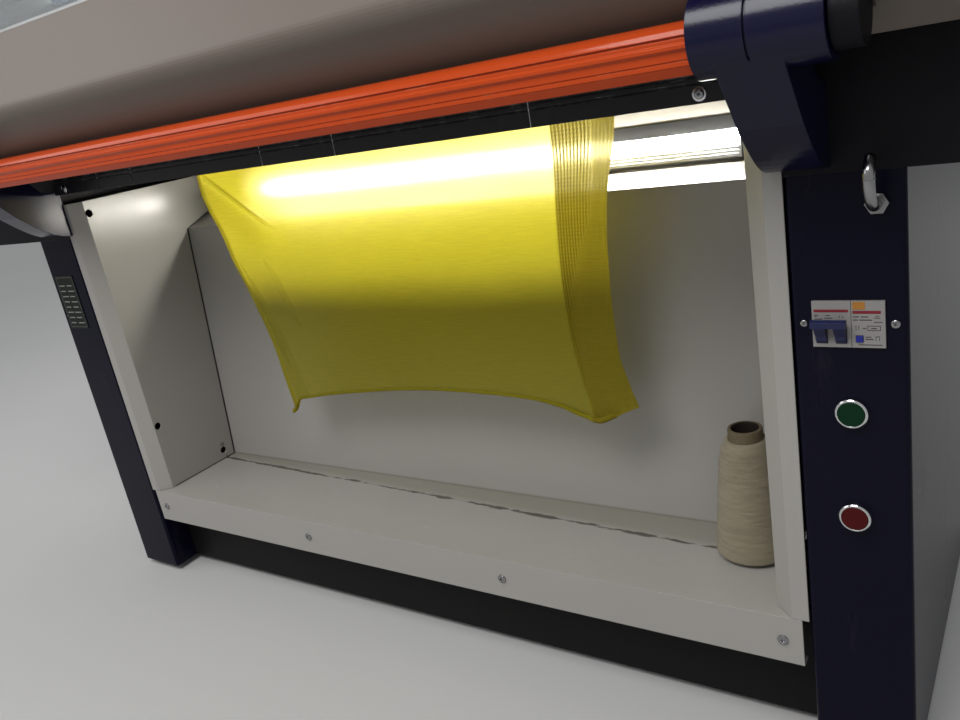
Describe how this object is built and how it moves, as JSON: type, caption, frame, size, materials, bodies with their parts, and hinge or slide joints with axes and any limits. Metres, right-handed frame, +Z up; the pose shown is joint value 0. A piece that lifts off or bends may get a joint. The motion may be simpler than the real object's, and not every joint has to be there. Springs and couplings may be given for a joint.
{
  "type": "flat knitting machine",
  "caption": "Flat knitting machine with V-bed needle beds, running carriage, sliding windows, orange start bar, lit fabric tray and a yarn stand.",
  "frame": {"origin": "on the floor under the middle of the machine's bounding box", "axes": "+X along the machine to its right end as the operator faces it, +Y to the back, +Z up"},
  "size_m": [2.1, 0.7952, 1.732],
  "materials": {
    "navy_paint": "gloss",
    "cream_paint": "satin",
    "beige_paint": "satin",
    "black_paint": "satin",
    "black_anodised": "satin",
    "orange_paint": "satin",
    "aluminium": "brushed",
    "steel": "polished",
    "chrome": "polished",
    "cast_frame": "painted",
    "diffuser": "emissive",
    "rubber": "matte",
    "acrylic": "clear",
    "dark_plastic": "matte",
    "white_plastic": "matte",
    "navy_plastic": "gloss",
    "blue_plastic": "gloss",
    "green_plastic": "gloss",
    "red_plastic": "gloss",
    "feeder_steel": "satin",
    "grey_metal": "satin",
    "yellow_knit": "knitted",
    "cream_yarn": "wound"
  },
  "bodies": {
    "frame": {"left_leg": "navy_paint", "right_leg": "navy_paint", "levelling_feet": "steel", "cross_panels": "black_paint", "fabric_tray": "cream_paint", "tray_screws": "chrome", "side_panels": "cream_paint", "tray_back_panel": "cream_paint", "lamp_housing": "aluminium", "lamp_diffuser": "diffuser", "left_bed_end": "cast_frame", "right_bed_end": "cast_frame", "front_beam": "cast_frame", "rear_beam": "cast_frame", "front_needle_bed": "steel", "front_needles": "steel", "front_rail": "black_anodised", "left_bar_bracket": "navy_paint", "right_bar_bracket": "navy_paint", "front_cover": "beige_paint", "rear_cover": "beige_paint", "left_end_cover": "beige_paint", "right_end_cover": "beige_paint", "hood_beam": "aluminium", "end_brackets": "grey_metal", "guide_rods": "chrome", "feeder_rails": "aluminium", "drive_belt": "rubber", "drive_motor": "black_paint", "yarn_stand": "cream_paint", "yarn_table": "cream_paint", "thread_bar": "aluminium", "tower_lamp": "dark_plastic", "screen_arm": "grey_metal", "breaker_body": "white_plastic", "button_bezels": "chrome", "cone_hook": "chrome", "knit_fabric": "yellow_knit", "yarn_cone": "cream_yarn"},
    "start_bar": {"start_bar": "orange_paint"},
    "takedown_roller": {"takedown_roller": "rubber"},
    "pinch_roller": {"pinch_roller": "rubber"},
    "carriage": {"front_cam_box": "grey_metal", "rear_cam_box": "grey_metal", "carriage_bridge": "aluminium"},
    "rear_bed": {"rear_needle_bed": "steel", "rear_needles": "steel"},
    "front_feeder": {"front_feeder": "feeder_steel"},
    "middle_feeder": {"middle_feeder": "feeder_steel"},
    "rear_feeder": {"rear_feeder": "feeder_steel"},
    "left_window": {"left_window": "acrylic"},
    "right_window": {"right_window": "acrylic"},
    "drive_pulley": {"drive_pulley": "aluminium"},
    "idler_pulley": {"idler_pulley": "aluminium"},
    "screen": {"control_screen": "dark_plastic"},
    "e_stop": {"e_stop_button": "red_plastic"},
    "breaker_toggle": {"breaker_toggle": "navy_plastic"},
    "breaker_test": {"breaker_test_button": "blue_plastic"},
    "start_button": {"start_button": "green_plastic"},
    "stop_button": {"stop_button": "red_plastic"}
  },
  "joints": [
    {"name": "start_bar_turn", "type": "hinge", "parent": "frame", "child": "start_bar", "pos_m": [0, -0.358, 0.7915], "axis": [1, 0, 0], "range_deg": [-20, 20], "stiffness_Nm_per_rad": 12},
    {"name": "takedown_spin", "type": "hinge", "parent": "frame", "child": "takedown_roller", "pos_m": [0, -0.1738, 0.754], "axis": [1, 0, 0], "continuous": true},
    {"name": "pinch_spin", "type": "hinge", "parent": "frame", "child": "pinch_roller", "pos_m": [0, -0.1262, 0.754], "axis": [1, 0, 0], "continuous": true},
    {"name": "carriage_travel", "type": "slide", "parent": "frame", "child": "carriage", "axis": [1, 0, 0], "range_m": [-0.54, 0.54]},
    {"name": "rear_bed_racking", "type": "slide", "parent": "frame", "child": "rear_bed", "axis": [1, 0, 0], "range_m": [-0.025, 0.025]},
    {"name": "front_feeder_slide", "type": "slide", "parent": "frame", "child": "front_feeder", "axis": [1, 0, 0], "range_m": [-0.18, 1.18]},
    {"name": "middle_feeder_slide", "type": "slide", "parent": "frame", "child": "middle_feeder", "axis": [1, 0, 0], "range_m": [-0.24, 1.12]},
    {"name": "rear_feeder_slide", "type": "slide", "parent": "frame", "child": "rear_feeder", "axis": [1, 0, 0], "range_m": [-1.15, 0.21]},
    {"name": "left_window_slide", "type": "slide", "parent": "frame", "child": "left_window", "axis": [1, 0, 0], "range_m": [0, 0.65]},
    {"name": "right_window_slide", "type": "slide", "parent": "frame", "child": "right_window", "axis": [1, 0, 0], "range_m": [-0.65, 0]},
    {"name": "drive_pulley_spin", "type": "hinge", "parent": "frame", "child": "drive_pulley", "pos_m": [0.782, 0.063, 0.9], "axis": [0, 1, 0], "continuous": true},
    {"name": "idler_pulley_spin", "type": "hinge", "parent": "frame", "child": "idler_pulley", "pos_m": [-0.782, 0.063, 0.9], "axis": [0, 1, 0], "continuous": true},
    {"name": "screen_swivel", "type": "hinge", "parent": "frame", "child": "screen", "pos_m": [0.822, -0.149, 1.3], "axis": [0, 0, 1], "range_deg": [-45, 45]},
    {"name": "e_stop_press", "type": "slide", "parent": "screen", "child": "e_stop", "axis": [0, 0.9781, -0.2079], "range_m": [0, 0.005]},
    {"name": "breaker_switch", "type": "hinge", "parent": "frame", "child": "breaker_toggle", "pos_m": [0.6425, -0.248, 0.512], "axis": [1, 0, 0], "range_deg": [0, 50]},
    {"name": "breaker_test_press", "type": "slide", "parent": "frame", "child": "breaker_test", "axis": [0, 1, 0], "range_m": [0, 0.0015], "stiffness_N_per_m": 400},
    {"name": "start_press", "type": "slide", "parent": "frame", "child": "start_button", "axis": [0, 1, 0], "range_m": [0, 0.003], "stiffness_N_per_m": 500},
    {"name": "stop_press", "type": "slide", "parent": "frame", "child": "stop_button", "axis": [0, 1, 0], "range_m": [0, 0.003], "stiffness_N_per_m": 500}
  ],
  "couplings": [
    {"joint": "pinch_spin", "follows": "takedown_spin", "ratio": -1},
    {"joint": "drive_pulley_spin", "follows": "carriage_travel", "rad_per_m": 38.02},
    {"joint": "idler_pulley_spin", "follows": "carriage_travel", "rad_per_m": 38.02}
  ]
}
